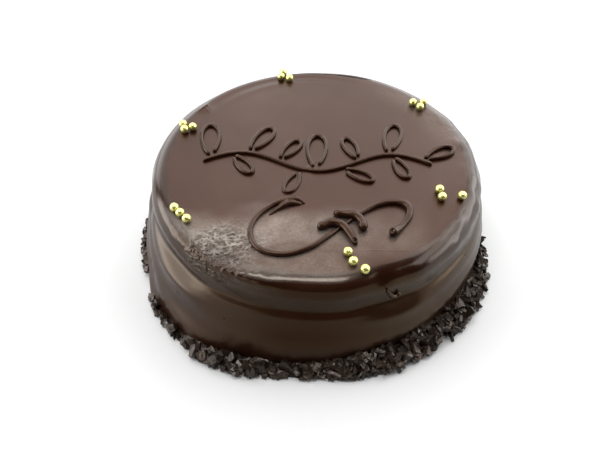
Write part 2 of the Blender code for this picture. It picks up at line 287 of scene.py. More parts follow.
# %% [markdown]
# The glaze is chocolate and cream poured over the cake while warm. Its tone drifts in
# clouds a few centimetres wide. A pale painted sheen stands in for the soft lamps
# mirrored in the glaze: a wide band across the front of the top, a thin haze in front of
# it, and a weaker one on the rough skin at the back right. The sheen could be painted on
# as an image, but masks made from places on the cake stay sharp at any size and follow
# it when it is moved.

# %% Glaze colour
def band(tree, value, low, high, soft):
    """1 between two places along an axis, falling to 0 over a soft edge."""
    rise = ramp(tree, value, low - soft, low + soft)
    fall = ramp(tree, value, high - soft, high + soft, 1.0, 0.0)
    return math_node(tree, "MULTIPLY", rise, fall)


def times(tree, *values):
    product = values[0]
    for value in values[1:]:
        product = math_node(tree, "MULTIPLY", product, value)
    return product


DARK_GLAZE, LIGHT_GLAZE = (0.0100, 0.0030, 0.0014), (0.0135, 0.0044, 0.0022)
PAINTED_SHEEN_TONE, PAINTED_SHEEN_STRENGTH = (0.156, 0.137, 0.118), 0.60
glaze, tree, shader, place = new_finish("chocolate_glaze")
clouds = place_group(tree, grain_group, place, Scale=38, Detail=2)
axes = add_node(tree, "ShaderNodeSeparateXYZ")
tree.links.new(place, axes.inputs["Vector"])
in_x = math_node(tree, "SUBTRACT", axes.outputs["X"], lower_middle.x)
# the painted sheen band's edges wander with the clouds, and it runs slightly uphill to the left
waved = math_node(tree, "MULTIPLY", math_node(tree, "SUBTRACT", clouds, 0.5), 30 * MM)
in_y = math_node(tree, "ADD", math_node(tree, "SUBTRACT", axes.outputs["Y"], lower_middle.y),
                 waved)
in_y = math_node(tree, "ADD", in_y, ramp(tree, in_x, -60 * MM, -8 * MM, 8 * MM, 0.0))
# painted sheen: a pale band across the front of the top, where soft lamps are mirrored
painted_sheen = times(tree, band(tree, in_y, -68 * MM, -42 * MM, 12 * MM),
              band(tree, in_x, -70 * MM, 56 * MM, 10 * MM),
              ramp(tree, in_x, -42 * MM, 36 * MM, 1.08, 0.34))
# a thinner painted sheen in front of the band, out towards the rim
faint_painted_sheen = times(tree, band(tree, in_y, -95 * MM, -68 * MM, 4 * MM),
              band(tree, in_x, -64 * MM, 22 * MM, 14 * MM), 0.42)
grain = ramp(tree, place_group(tree, grain_group, place, Scale=850, Detail=3),
             0.25, 0.75, 0.75, 1.25)
drift = ramp(tree, place_group(tree, grain_group, place, Scale=110, Detail=3),
             0.3, 0.7, 0.75, 1.20)
# reach is the distance from the upper layer's middle, which tells the flat from the rim
out_x = math_node(tree, "SUBTRACT", axes.outputs["X"], upper_middle.x)
out_y = math_node(tree, "SUBTRACT", axes.outputs["Y"], upper_middle.y)
reach = math_node(tree, "SQRT", math_node(tree, "ADD", times(tree, out_x, out_x),
                                          times(tree, out_y, out_y)))
# the rough skin at the back right: real pebbles in the bump, and a painted sheen in the colour
rough_skin_and_sheen = times(tree, ramp(tree, reach, 66 * MM, 82 * MM), ramp(tree, out_x, 22 * MM, 55 * MM),
                   ramp(tree, out_y, 4 * MM, 30 * MM))
# the patch that was touched: a painted highlight makes its crests brighter than its hollows
bubbly_x = math_node(tree, "DIVIDE", math_node(tree, "ADD", in_x, 45 * MM), 22 * MM)
bubbly_y = math_node(tree, "DIVIDE", math_node(tree, "ADD", in_y, 62 * MM), 17 * MM)
bubbly = ramp(tree, math_node(tree, "ADD", times(tree, bubbly_x, bubbly_x),
                              times(tree, bubbly_y, bubbly_y)), 0.3, 1.3, 1.0, 0.0)
crests = add_node(tree, "ShaderNodeAttribute", attribute_name="crest").outputs["Fac"]
wrinkles = math_node(tree, "MULTIPLY", crests, ramp(tree, place_group(
    tree, grain_group, place, Scale=900, Detail=4), 0.3, 0.7, 0.5, 1.5))
# painted highlight: the wrinkles' crests are lighter, with a small lift over the whole patch
painted_crest_highlight = math_node(tree, "ADD", times(tree, wrinkles, 1.0), 0.18)
# the rough skin at the back right also gets a weaker painted sheen
painted_sheen = math_node(tree, "MAXIMUM", math_node(tree, "MAXIMUM", painted_sheen, faint_painted_sheen),
                  times(tree, rough_skin_and_sheen, 0.22))
painted_sheen = times(tree, painted_sheen, grain, drift,
              math_node(tree, "ADD", 1.0, times(tree, bubbly, painted_crest_highlight)), PAINTED_SHEEN_STRENGTH,
              ramp(tree, axes.outputs["Z"], 0.965 * TOP, 0.99 * TOP))
colour = mix_colours(tree, ramp(tree, clouds, 0.35, 0.65), DARK_GLAZE, LIGHT_GLAZE)
# the painted sheen is mixed into the glaze's base colour
colour = mix_colours(tree, painted_sheen, colour, PAINTED_SHEEN_TONE)
tree.links.new(colour, shader.inputs["Base Color"])
print("glaze colour:", len(tree.nodes), "nodes so far")

# %% [markdown]
# The gloss changes with the place as well. The flat of the top is satin, the rim is
# shinier, and the wall is duller again, where the glaze ran thin. What the surface
# mirrors is tinted a little, brown on the flat and nearly neutral on the rim, because
# the light goes through a thin brown film before it comes back.

# %% Glaze gloss
FLAT_TINT, RIM_TINT = (1, 0.61, 0.45), (1, 0.87, 0.76)
LEFT_WALL_TINT, WALL_TINT = (1, 0.80, 0.60), (1, 0.71, 0.36)
on_wall = ramp(tree, axes.outputs["Z"], 0.76 * TOP, 0.86 * TOP, 1.0, 0.0)
to_side = ramp(tree, math_node(tree, "ABSOLUTE", in_x), 4 * MM, 50 * MM)
side_tint = mix_colours(tree, ramp(tree, in_x, -70 * MM, -15 * MM),
                        LEFT_WALL_TINT, WALL_TINT)
gloss = ramp(tree, place_group(tree, grain_group, place, Scale=90, Detail=4),
             0.3, 0.7, 0.15, 0.21)
gloss = math_node(tree, "ADD", gloss, times(tree, on_wall, 0.13))
less = math_node(tree, "SUBTRACT", 0.10, times(tree, to_side, 0.17))
below_rim = ramp(tree, axes.outputs["Z"], 0.88 * TOP, 0.95 * TOP, 1.0, 0.0)
tree.links.new(math_node(tree, "SUBTRACT", 0.27, times(tree, below_rim, less)),
               shader.inputs["Specular IOR Level"])
raised = math_node(tree, "ADD", axes.outputs["Z"],
                   ramp(tree, in_x, 30 * MM, 75 * MM, 0.0, 0.14 * TOP))
edge_tint = mix_colours(tree, ramp(tree, raised, 0.94 * TOP, 0.98 * TOP),
                        side_tint, RIM_TINT)
on_flat = ramp(tree, reach, 83.5 * MM, 87 * MM, 1.0, 0.0)
smooth_flat = times(tree, on_flat, math_node(tree, "SUBTRACT", 1.0,
                                              times(tree, bubbly, 0.8)))
tint = mix_colours(tree, smooth_flat, edge_tint, FLAT_TINT)
tree.links.new(tint, shader.inputs["Specular Tint"])
tree.links.new(math_node(tree, "ADD", gloss, times(tree, on_flat, 0.14)),
               shader.inputs["Roughness"])
print("glaze gloss:", len(tree.nodes), "nodes so far")

# %% [markdown]
# Relief finer than half a millimetre goes into a bump, because it is too small for
# faces: pinholes, the skin's grain, pebbles at the back right and a faint seam where
# two pours met. The larger wrinkles are real faces, and come with the skin's shape.

# %% Glaze relief
pits = place_group(tree, pit_group, place, Scale=110, Share=0.14, Width=0.09)
skin = place_group(tree, grain_group, place, Scale=500, Detail=3)
height = math_node(tree, "SUBTRACT", math_node(tree, "MULTIPLY", skin, 0.05), pits)
height = math_node(tree, "ADD", height, times(tree, bubbly, wrinkles, 0.4))
pebbled = place_group(tree, grain_group, place, Scale=330, Detail=2)
height = math_node(tree, "ADD", height, times(tree, rough_skin_and_sheen, pebbled, 0.45))
seam_y = math_node(tree, "ADD", out_y, math_node(tree, "MULTIPLY", waved, 0.12))
seam = times(tree, band(tree, seam_y, -69.6 * MM, -68.8 * MM, 0.4 * MM),
             band(tree, in_x, 24 * MM, 48 * MM, 7 * MM))
height = math_node(tree, "ADD", height, times(tree, seam, 0.25))
add_bump(tree, shader, height, 0.45 * MM)
print("glaze finish:", len(tree.nodes), "nodes")

# %% [markdown]
# The cake's surface is one skin. It could be cut from a cylinder, but then the ledge
# and the rim would need loops of their own. So it is turned like a pot: half its outline
# is drawn as a row of corners, each pushed out from the last, and spun round the
# middle. Real cakes aren't round or flat, so the skin is then leaned and waved.

# %% Outline of the cake
LOWER_RADIUS, UPPER_RADIUS = 101.5 * MM, 95.0 * MM
LEDGE_LOW, LEDGE_HIGH = 29 * MM, 37.5 * MM
RIM_ROUND = 10.5 * MM
RIM_START = UPPER_RADIUS - RIM_ROUND     # where the flat of the top ends


def smooth_step(low, high, value):
    share = min(max((value - low) / (high - low), 0.0), 1.0)
    return share * share * (3.0 - 2.0 * share)


def side_radius(height):
    step = (LOWER_RADIUS - UPPER_RADIUS) * smooth_step(LEDGE_LOW, LEDGE_HIGH, height)
    foot = 1.0 * MM * (1.0 - min(height / (2 * MM), 1.0))
    curtain = 0.5 * MM * math.exp(-((height - 19 * MM) / (5 * MM)) ** 2)
    return LOWER_RADIUS - step - foot + curtain


def rim_drop(radius):
    past_flat = radius - RIM_START
    if past_flat <= 0.0:
        return 0.0
    return RIM_ROUND - math.sqrt(max(RIM_ROUND ** 2 - past_flat ** 2, 0.0))


outline = [(0.0, 0.0), (60 * MM, 0.0)]
outline += [(side_radius(h * MM), h * MM) for h in (0, 0.7, 1.4, 2, *range(3, 47))]
for tilt in range(85, -1, -5):
    slope = math.radians(tilt)
    outline.append((RIM_START + RIM_ROUND * math.sin(slope),
                    TOP - RIM_ROUND + RIM_ROUND * math.cos(slope)))
TOP_RINGS = 54
outline += [(RIM_START * (1 - ring / TOP_RINGS), TOP) for ring in range(1, TOP_RINGS + 1)]
print("corners in the outline:", len(outline))

# %% Turn the outline
def turned(name, corners, steps):
    """A row of (radius, height) corners spun about the Z axis into a closed skin.

    The outline is drawn corner by corner, so corners have to be what edit mode picks."""
    deselect()
    bpy.ops.mesh.primitive_plane_add(size=2 * MM)
    piece = bpy.context.object
    piece.name = name
    bpy.ops.object.mode_set(mode="EDIT")
    bpy.ops.mesh.select_mode(type="VERT")
    bpy.ops.mesh.select_all(action="SELECT")
    bpy.ops.mesh.merge(type="CENTER")
    here = Vector((0.0, 0.0, 0.0))
    bpy.ops.transform.translate(value=Vector((corners[0][0], 0, corners[0][1])) - here)
    here = Vector((corners[0][0], 0, corners[0][1]))
    for radius, height in corners[1:]:
        there = Vector((radius, 0, height))
        bpy.ops.mesh.extrude_vertices_move(
            TRANSFORM_OT_translate={"value": there - here})
        here = there
    bpy.ops.mesh.select_all(action="SELECT")
    bpy.ops.mesh.spin(steps=steps, angle=math.tau, center=(0, 0, 0), axis=(0, 0, 1))
    bpy.ops.mesh.select_all(action="SELECT")
    bpy.ops.mesh.remove_doubles(threshold=0.02 * MM)
    bpy.ops.mesh.normals_make_consistent(inside=False)
    bpy.ops.object.mode_set(mode="OBJECT")
    return piece


cake = turned("glazed_torte", outline, 360)
print("turned skin:", len(cake.data.vertices), "corners")

# %% [markdown]
# At the front left the glaze was touched while it set, and a patch of small wrinkles
# and bubbles is left in it. They are only a millimetre or two wide. Finer faces all over
# would cost millions, so only the skin there is cut finer, before anything is moved.

# %% Finer faces where the bubbles are
BUBBLES = Vector((-43.3, -65.2)) * MM + lower_middle


def in_patch(point, centre, reach_x, reach_y):
    """Below 1 inside an oval patch round a centre, and above 1 outside it."""
    dx, dy = (point.x - centre.x) / reach_x, (point.y - centre.y) / reach_y
    return dx * dx + dy * dy


mesh = cake.data
bpy.ops.object.mode_set(mode="EDIT")
bpy.ops.mesh.select_mode(type="FACE")
bpy.ops.mesh.select_all(action="DESELECT")
bpy.ops.object.mode_set(mode="OBJECT")
for face in mesh.polygons:
    centre = face.center + Vector((*lower_middle, 0))
    face.select = centre.z > 40 * MM and in_patch(centre, BUBBLES, 30 * MM, 24 * MM) < 1
bpy.ops.object.mode_set(mode="EDIT")
bpy.ops.mesh.subdivide(number_cuts=2)
bpy.ops.object.mode_set(mode="OBJECT")
print("with finer faces:", len(cake.data.vertices), "corners")

# %% [markdown]
# A poured cake leans, swells and dents. Sculpting that by hand would be hard to repeat,
# so each unevenness is a small function of direction and height, with its own place and
# depth. First come the large ones: the ledge that fades to a slope at the front, the
# layers that are a little out of round, and the lip in which the glaze ends.

# %% Lean and swell
def bump(angle, place):
    """A swelling with a flat middle; place is its direction, spread and depth."""
    direction, spread, depth = place
    apart = (math.degrees(angle) - direction + 180.0) % 360.0 - 180.0
    return depth * math.exp(-(apart / spread) ** 4)


def upper_share(angle, height):
    """0 below the ledge, 1 above it; at the front the ledge starts as a gentle slope."""
    crisp = smooth_step(LEDGE_LOW, LEDGE_HIGH, height)
    soft = 0.70 * smooth_step(8 * MM, 36 * MM, height)
    soft += 0.30 * smooth_step(34 * MM, LEDGE_HIGH, height)
    share = bump(angle, (-97, 32, 1.0)) + bump(angle, (-30, 31, 0.7))
    share += bump(angle, (-152, 24, 0.5))
    return crisp + (soft - crisp) * min(share, 1.0)


def sideways(angle, height):
    """How far the side stands out of its true circle at one place."""
    upper = upper_share(angle, height)
    upper_shape = 0.5 * MM * (math.sin(2 * angle + 0.6) + 0.6 * math.sin(5 * angle + 0.9))
    upper_shape -= bump(angle, (-68, 10, 1.5 * MM))
    lower_shape = 0.5 * MM * (math.sin(3 * angle + 2.1) + 0.5 * math.sin(4 * angle))
    lower_shape -= bump(angle, (176, 36, 4.8 * MM)) * smooth_step(0.0, LEDGE_LOW, height)
    lower_shape += bump(angle, (226, 20, 5.5 * MM)) * (1 - smooth_step(0, 20 * MM, height))
    slope = upper - smooth_step(LEDGE_LOW, LEDGE_HIGH, height)
    slope *= LOWER_RADIUS - UPPER_RADIUS
    return upper * upper_shape + (1.0 - upper) * lower_shape - slope


def lean(point):
    angle = math.atan2(point.y, point.x)
    radius = math.hypot(point.x, point.y)
    outward = Vector((math.cos(angle), math.sin(angle), 0.0))
    share = smooth_step(LOWER_RADIUS * 0.5, RIM_START, radius)
    upper = upper_share(angle, point.z)
    shift = lower_middle.lerp(upper_middle, upper).to_3d()
    return point + outward * sideways(angle, point.z) * share + shift


def along_table(table, degrees):
    """Values read from a table of (direction, value, ...) rows, straight in between."""
    for start, end in zip(table, table[1:]):
        if degrees <= end[0]:
            part = max(degrees - start[0], 0) / (end[0] - start[0])
            return [low + (high - low) * part for low, high in zip(start[1:], end[1:])]
    return table[-1][1:]


# The glaze ends in a lip at the front right: its direction, height and how far it hangs
LIP = [(-180, 10, 0.0), (-85, 10, 0.0), (-70, 12, 0.5), (-59, 14.5, 0.8), (-41, 18, 1.0),
       (-34, 20, 1.0), (-24, 21, 1.0), (-8, 21, 0.7), (8, 20, 0.0), (180, 20, 0.0)]


def lip(angle, height):
    low, hang = along_table(LIP, math.degrees(angle))
    above = height / MM - low
    if hang == 0.0 or above < -1.0:
        return 0.0
    return hang * MM * smooth_step(-0.5, 0.9, above) * math.exp(-(max(above, 0) / 7.0) ** 2)


print("lip hangs out by up to", max(row[2] for row in LIP), "mm")

# %% [markdown]
# The small marks of the hand come next, all along the skin's own normals: a finger's
# dent, the wrinkled patch, ripples on the shoulder, slanting folds at the left, low
# folds at the back and a torn rim. The wrinkles' crests are also kept as an attribute,
# so that the glaze's painted highlight sits exactly on them.

# %% Marks of the hand
def lump(point, centre, width, rise):
    """A round swelling of one width and rise; its centre is in drawn millimetres."""
    away = (point - Vector(centre) * MM - lower_middle.to_3d()).length / (width * MM)
    return rise * MM * math.exp(-away * away)


DENT = (36.0, -84.5, 53.5)      # where a finger pressed the rim, in drawn millimetres


def wrinkle(point):
    """Crests, up to 1, and hollows in the patch that was touched; 0 everywhere else."""
    patch = math.exp(-in_patch(point, BUBBLES, 21 * MM, 17 * MM) ** 2)
    if patch < 0.01 or point.z < 44 * MM:
        return 0.0
    spot = Vector((point.x * 170, point.y * 280, point.z * 280))
    crest = 1 - 4.5 * abs(noise.noise(spot)) - 3.5 * abs(noise.noise(spot * 2.3))
    return patch * max(crest, -0.9)


def handwork(point):
    """Rise of the skin at a point, from the waves and marks of pouring by hand."""
    angle = math.atan2(point.y - upper_middle.y, point.x - upper_middle.x)
    radius = (point.xy - upper_middle).length / MM
    # uneven all over, and more so on the wall
    rise = 0.08 * MM * noise.noise(point * 28) + 0.04 * MM * noise.noise(point * 70)
    side = smooth_step(-TOP + 2 * MM, -TOP + 12 * MM, -point.z)
    rise += side * 0.40 * MM * noise.noise(Vector((point.x * 30, point.y * 30, point.z * 14)))
    on_top = smooth_step(44 * MM, 52 * MM, point.z)
    rise -= on_top * bump(angle, (-18, 31, 1.3 * MM)) * smooth_step(66, 93, radius)
    # ripples on the shoulder
    ripple = noise.noise(point * 75) + 0.5 * noise.noise(point * 150)
    ripple = ripple * smooth_step(78, 90, radius) * smooth_step(34 * MM, 44 * MM, point.z)
    rise += 0.75 * MM * ripple * (bump(angle, (-5, 42, 1.0)) + bump(angle, (-128, 22, 0.5)))
    # folds that slant down the left wall, then low ones round the back of the rim
    around = math.degrees(angle) if angle < 0 else math.degrees(angle) - 360
    crest = (38 - (around + 160) * 0.45 + 7 * noise.noise(point * 22)) * MM
    rise += side * bump(angle, (-155, 33, 0.62 * MM)) * math.cos(
        math.tau * (point.z - crest) / (14 * MM))
    fold = math.sin(radius * 0.62 + 2.2 * math.sin(2.3 * angle)) * smooth_step(72, 82, radius)
    rise += on_top * 0.34 * MM * fold * bump(angle, (112, 36, 1.0))
    # a fuller rim in front, torn at the left, with the wrinkled patch behind it
    corner = math.exp(-((TOP - point.z - 3.4 * MM) / (2.8 * MM)) ** 2)
    rise += corner * (bump(angle, (-92, 30, 0.7 * MM)) + bump(angle, (-115, 14, 1.6 * MM)))
    torn = smooth_step(76, 85, radius) * smooth_step(49 * MM, 52 * MM, point.z)
    rise += torn * bump(angle, (-122, 26, 0.30 * MM)) * noise.noise(point * 280)
    rise += 0.36 * MM * wrinkle(point) + 0.12 * MM * abs(wrinkle(point)) * noise.noise(
        point * 900)
    rise += lump(point, DENT, 5.0, -1.4) + lump(point, (-67.2, 48.0, 56.5), 3.6, 1.1)
    return rise + lip(math.atan2(point.y - lower_middle.y, point.x - lower_middle.x), point.z)


mesh = cake.data
normals = [corner.normal.copy() for corner in mesh.vertices]
crests = mesh.attributes.new("crest", "FLOAT", "POINT").data
for corner, normal in zip(mesh.vertices, normals):
    moved = lean(corner.co)
    crests[corner.index].value = wrinkle(moved)
    if moved.z > 0.5 * MM:
        moved += normal * handwork(moved)
    corner.co = moved
only(cake)
bpy.ops.object.shade_smooth_by_angle(angle=math.radians(60))
mesh.materials.append(glaze)
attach(cake, "root")
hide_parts("cake_body")
print("glazed torte:", len(mesh.polygons), "faces")


def top_height(x, y):
    """Height of the glaze at one place on the top, in metres from the cake's foot."""
    radius = math.hypot(x - upper_middle.x, y - upper_middle.y)
    return TOP - rim_drop(radius)


# %% [markdown]
# Piped chocolate comes out of a paper cone as a round line, thicker where the hand
# slowed. A curve with a round bevel is the natural way to make it: its route is read
# from a smooth line through a few points, and each point has its own thickness.

# %% Piping finish and helper
piping, tree, shader, place = new_finish(
    "piped_chocolate", Specular_IOR_Level=0.22, Specular_Tint=(1, 0.72, 0.52, 1))
tree.links.new(mix_colours(tree, place_group(tree, grain_group, place, Scale=120, Detail=3),
                           (0.0125, 0.0042, 0.0022), (0.0165, 0.0060, 0.0033)),
               shader.inputs["Base Color"])
tree.links.new(ramp(tree, place_group(tree, grain_group, place, Scale=300, Detail=3),
                    0.3, 0.7, 0.20, 0.28), shader.inputs["Roughness"])
add_bump(tree, shader, place_group(tree, grain_group, place, Scale=900, Detail=3), 0.04 * MM)
print("piping finish:", piping.name)


def smooth_route(points, step):
    """An even row of points (x, y, thickness, lift) on a smooth curve through a few."""
    chosen = [Vector(point) for point in points]
    ends = [chosen[0] * 2 - chosen[1]] + chosen + [chosen[-1] * 2 - chosen[-2]]
    fine = []
    for before, start, end, after in zip(ends, ends[1:], ends[2:], ends[3:]):
        pieces = max(round((end - start).xy.length / step), 1)
        for piece in range(pieces):
            t = piece / pieces
            fine.append(0.5 * (2 * start + (end - before) * t
                               + (2 * before - 5 * start + 4 * end - after) * t ** 2
                               + (3 * start - before - 3 * end + after) * t ** 3))
    return fine + [chosen[-1]]


def rounded_ends(route, radius):
    """The route with each end drawn out to a half ball, as a cone leaves it."""
    def cap(end, inward):
        reach = radius * end.z
        direction = (inward - end).xy.normalized()
        tips = []
        for share in (0.02, 0.12, 0.3, 0.55, 0.8):
            tip = end.copy()
            tip.xy = end.xy + direction * reach * share
            tip.z = end.z * math.sqrt(1.0 - (1.0 - share) ** 2)
            tips.append(tip)
        return tips
    first, last = cap(route[0], route[1]), cap(route[-1], route[-2])
    inner = [point for point in route[1:-1]
             if (point.xy - route[0].xy).length > radius * route[0].z
             and (point.xy - route[-1].xy).length > radius * route[-1].z]
    return first + inner + last[::-1]


def tube(name, spots, radius):
    """A round line through spots (x, y, z, thickness), as a mesh with closed ends."""
    deselect()
    bpy.ops.curve.primitive_nurbs_path_add(location=(0, 0, 0))
    line = bpy.context.object
    line.name = name
    curve = line.data
    curve.splines.clear()
    curve.dimensions = "3D"
    curve.twist_mode = "Z_UP"
    curve.bevel_depth = radius
    curve.bevel_resolution = 5
    curve.use_fill_caps = True
    spline = curve.splines.new("POLY")
    spline.points.add(len(spots) - 1)
    for spot, (x, y, z, thick) in zip(spline.points, spots):
        spot.co = (x, y, z, 1)
        spot.radius = thick
    bpy.ops.object.convert(target="MESH")
    bpy.ops.object.mode_set(mode="EDIT")
    bpy.ops.mesh.select_all(action="SELECT")
    bpy.ops.mesh.remove_doubles(threshold=0.01 * MM)
    bpy.ops.mesh.normals_make_consistent(inside=False)
    bpy.ops.object.mode_set(mode="OBJECT")
    return line


PRESSED_IN = 0.25 * MM


def piped_line(name, points, radius, step=1.2 * MM):
    """A piped line through points drawn in millimetres from the lower layer's middle."""
    drawn = [(x * MM + lower_middle.x, y * MM + lower_middle.y, thick, lift * MM)
             for x, y, thick, lift in points]
    spots = []
    for x, y, thick, lift in rounded_ends(smooth_route(drawn, step), radius):
        height = top_height(x, y) + radius * thick + lift - PRESSED_IN
        spots.append((x, y, height, thick * (1 + 0.05 * noise.noise(Vector((x, y, 0)) * 110))))
    return tube(name, spots, radius)


def finish_piping(piece, *nodes):
    only(piece)
    bpy.ops.object.shade_smooth()
    piece.data.materials.clear()
    piece.data.materials.append(piping)
    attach(piece, "root")
    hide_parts(*nodes)
    print(piece.name, "has", len(piece.data.polygons), "faces")


# %% [markdown]
# The scroll is one long line with a short barb at its head, where two passes of the
# cone ran together. The two lines are joined and remeshed into one skin, and smoothed,
# which melts the join as warm chocolate does. Two short strokes lie across it.

# %% Scroll and cross strokes
def melt(piece, voxel, rounds):
    """Runs a piece's parts into one skin and smooths it."""
    only(piece)
    remesh = piece.modifiers.new("Melt", "REMESH")
    remesh.mode = "VOXEL"
    remesh.voxel_size = voxel
    bpy.ops.object.modifier_apply(modifier=remesh.name)
    smooth = piece.modifiers.new("Smooth", "SMOOTH")
    smooth.iterations = rounds
    smooth.factor = 0.5
    bpy.ops.object.modifier_apply(modifier=smooth.name)
    return piece


def hollow(piece, x, y, width, depth):
    """A small rough hollow pushed down into the top of a piped end."""
    centre = Vector((x, y)) * MM + lower_middle
    for corner in piece.data.vertices:
        away = (corner.co.xy - centre).length / (width * MM)
        if away < 1:
            rough = 1 + 0.5 * noise.noise(corner.co * 900)
            corner.co.z -= depth * MM * rough * (1 - away * away) ** 2


SCROLL_RADIUS, STROKE_RADIUS, LINE_RADIUS = 1.5 * MM, 2.3 * MM, 1.15 * MM
scroll_points = [
    (-3.0, -34.6, 0.35, 0), (-8.0, -32.6, 1.2, 0), (-14.0, -33.2, 1.2, 0),
    (-21.0, -37.2, 1.0, 0), (-28.0, -44.8, 1.0, 0), (-31.2, -54.8, 1.0, 0),
    (-28.3, -65.8, 1.0, 0), (-20.8, -71.0, 1.0, 0), (-11.0, -71.4, 1.0, 0),
    (-1.0, -67.2, 1.0, 0), (7.9, -59.6, 0.9, 0), (14.0, -53.8, 0.72, 0),
    (21.2, -46.5, 0.72, 0), (27.0, -41.4, 0.85, 0), (35.0, -35.6, 1.0, 0),
    (44.5, -32.9, 1.1, 0), (51.0, -35.4, 1.3, 0), (52.0, -41.8, 1.3, 0),
    (47.4, -50.6, 1.0, 0), (41.2, -57.2, 1.75, 0)]
barb_points = [(-5.0, -35.1, 0.5, 0), (-12.0, -35.7, 1.2, 0),
               (-17.5, -39.4, 0.9, 0), (-22.3, -44.0, 0.35, 0)]
scroll = piped_line("piped_scroll_line", scroll_points, SCROLL_RADIUS)
barb = piped_line("barb", barb_points, SCROLL_RADIUS)
only(scroll)
barb.select_set(True)
bpy.ops.object.join()
melt(scroll, 0.32 * MM, 6)
hollow(scroll, 41.9, -56.8, 1.3, 1.3)
finish_piping(scroll, "piped_scroll")

OVER = 1.0      # how far the strokes rise where they cross the line under them
front_points = [(4.0, -53.6, 1.1, 0), (10.5, -50.0, 1.0, 0.3), (16.0, -51.6, 0.85, OVER),
                (20.0, -57.2, 0.95, 0.2), (23.1, -64.0, 0.8, 0)]
back_points = [(12.4, -42.9, 1.1, 0), (18.6, -43.6, 0.9, 0.3), (23.2, -44.8, 0.9, OVER),
               (26.6, -48.8, 1.0, 0.3), (27.2, -54.6, 1.15, 0)]
front_stroke = melt(piped_line("front_stroke", front_points, STROKE_RADIUS), 0.32 * MM, 4)
hollow(front_stroke, 22.6, -62.8, 1.4, 1.6)
finish_piping(front_stroke, "cross_stroke_front")
back_stroke = melt(piped_line("back_stroke", back_points, STROKE_RADIUS), 0.32 * MM, 4)
finish_piping(back_stroke, "cross_stroke_back")

# %% [markdown]
# Two bits of glaze set where they dripped: a small curl on the wall at the front right,
# and a torn peak near the rim at the back left. Both are short fat lines melted into one
# blob. The wall isn't a simple shape any more, so the curl's places are moved to the
# nearest part of the finished skin, which keeps it from hanging in the air.

# %% Drips of glaze
def drip(name, routes, radius, clings=False):
    """Blobs of glaze along short routes of (x, y, z, thickness) in drawn millimetres.

    A blob that clings is set on the nearest part of the skin, half sunk in it."""
    parts = []
    for route in routes:
        spots = [(x * MM + lower_middle.x, y * MM + lower_middle.y, z * MM, thick)
                 for x, y, z, thick in route]
        for index, (x, y, z, thick) in enumerate(spots):
            if clings:
                _, near, facing, _ = cake.closest_point_on_mesh(Vector((x, y, z)))
                spots[index] = (*(near + facing * 0.7 * MM), thick)
        parts.append(tube(name, spots, radius))
    only(parts[0])
    for part in parts[1:]:
        part.select_set(True)
    if len(parts) > 1:
        bpy.ops.object.join()
    blob = melt(parts[0], 0.25 * MM, 3)
    only(blob)
    bpy.ops.object.shade_smooth()
    blob.data.materials.clear()
    blob.data.materials.append(glaze)
    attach(blob, "root")
    print(blob.name, "has", len(blob.data.polygons), "faces")


drip("wall_curl", [
    [(38.3, -83.7, 46.6, 0.5), (39.6, -83.4, 43.4, 1.0), (41.4, -82.6, 40.4, 1.3),
     (43.6, -81.7, 39.4, 1.2), (44.9, -81.0, 40.9, 0.9), (44.1, -81.4, 42.6, 0.7)]],
     1.15 * MM, clings=True)
drip("torn_peak", [
    [(-67.2, 49.2, 57.9, 0.5), (-68.6, 47.4, 57.2, 0.8), (-70.2, 45.6, 56.5, 0.8),
     (-71.8, 44.0, 56.1, 0.4)],
    [(-67.0, 49.4, 58.1, 0.5), (-66.0, 47.4, 57.2, 0.8), (-64.6, 45.4, 56.5, 0.8),
     (-63.2, 44.2, 56.1, 0.4)],
    [(-67.0, 49.6, 58.0, 0.6), (-66.2, 50.8, 57.4, 0.8), (-65.4, 52.2, 56.2, 0.5)]], 0.95 * MM)

# %% [markdown]
# Behind the scroll runs a leafy vine, piped in one wavy stem with a loop for each
# leaf. Each leaf is a teardrop that leaves the stem and comes back to it, so one
# function draws them all from a place on the stem, a side, a size and a lean.

# %% Leafy vine
VINE_START, VINE_END, VINE_MIDDLE, VINE_SWING, VINE_WAVES = -62.0, 68.0, -1.0, 7.5, 1.5
LEAF_LENGTH, LEAF_WIDTH = 21.0, 9.5


def vine_stem(share):
    """Place and direction of the stem at a share of its length."""
    swing = VINE_WAVES * math.tau
    x = VINE_START + (VINE_END - VINE_START) * share
    y = VINE_MIDDLE + VINE_SWING * math.sin(swing * share)
    slope = VINE_SWING * swing * math.cos(swing * share) / (VINE_END - VINE_START)
    return Vector((x, y)), Vector((1.0, slope)).normalized()


def leaf_points(share, side, size, forward_lean):
    """One leaf's outline, from its share of the stem's length, its side, size and lean."""
    root, along = vine_stem(share)
    across = Vector((-along.y, along.x)) * side
    axis = along * forward_lean + across * math.sqrt(1.0 - forward_lean ** 2)
    width = Vector((-axis.y, axis.x))
    base = root + axis * 2.9
    points = []
    for turn in range(22, 339, 30):
        angle = math.radians(turn)
        ahead = LEAF_LENGTH * size * 0.5 * (1.0 - math.cos(angle))
        aside = math.sin(angle) * math.sin(angle / 2) ** 0.6
        spot = base + axis * ahead + width * LEAF_WIDTH * size * 0.5 * aside
        points.append((spot.x, spot.y, 1.0, 0.0))
    return points


stem_points = [(*vine_stem(step / 18)[0], 1.0, 0.0) for step in range(19)]
LEAVES = [(0.03, 1, 1.30, 0.36), (0.12, -1, 0.85, 0.40), (0.19, 1, 1.10, 0.40),
          (0.325, 1, 0.90, 0.10), (0.43, -1, 0.85, -0.05), (0.49, 1, 1.35, 0.0),
          (0.60, -1, 0.85, 0.60), (0.685, 1, 0.90, 0.12), (0.81, 1, 1.20, 0.35),
          (0.83, -1, 0.85, 0.35), (0.955, 1, 0.95, 0.55)]
finish_piping(piped_line("vine_stem_line", stem_points, LINE_RADIUS), "vine_stem")
for number, leaf in enumerate(LEAVES, 1):
    finish_piping(piped_line(f"vine_leaf_line_{number}", leaf_points(*leaf), LINE_RADIUS),
                  f"vine_leaf_{number}")

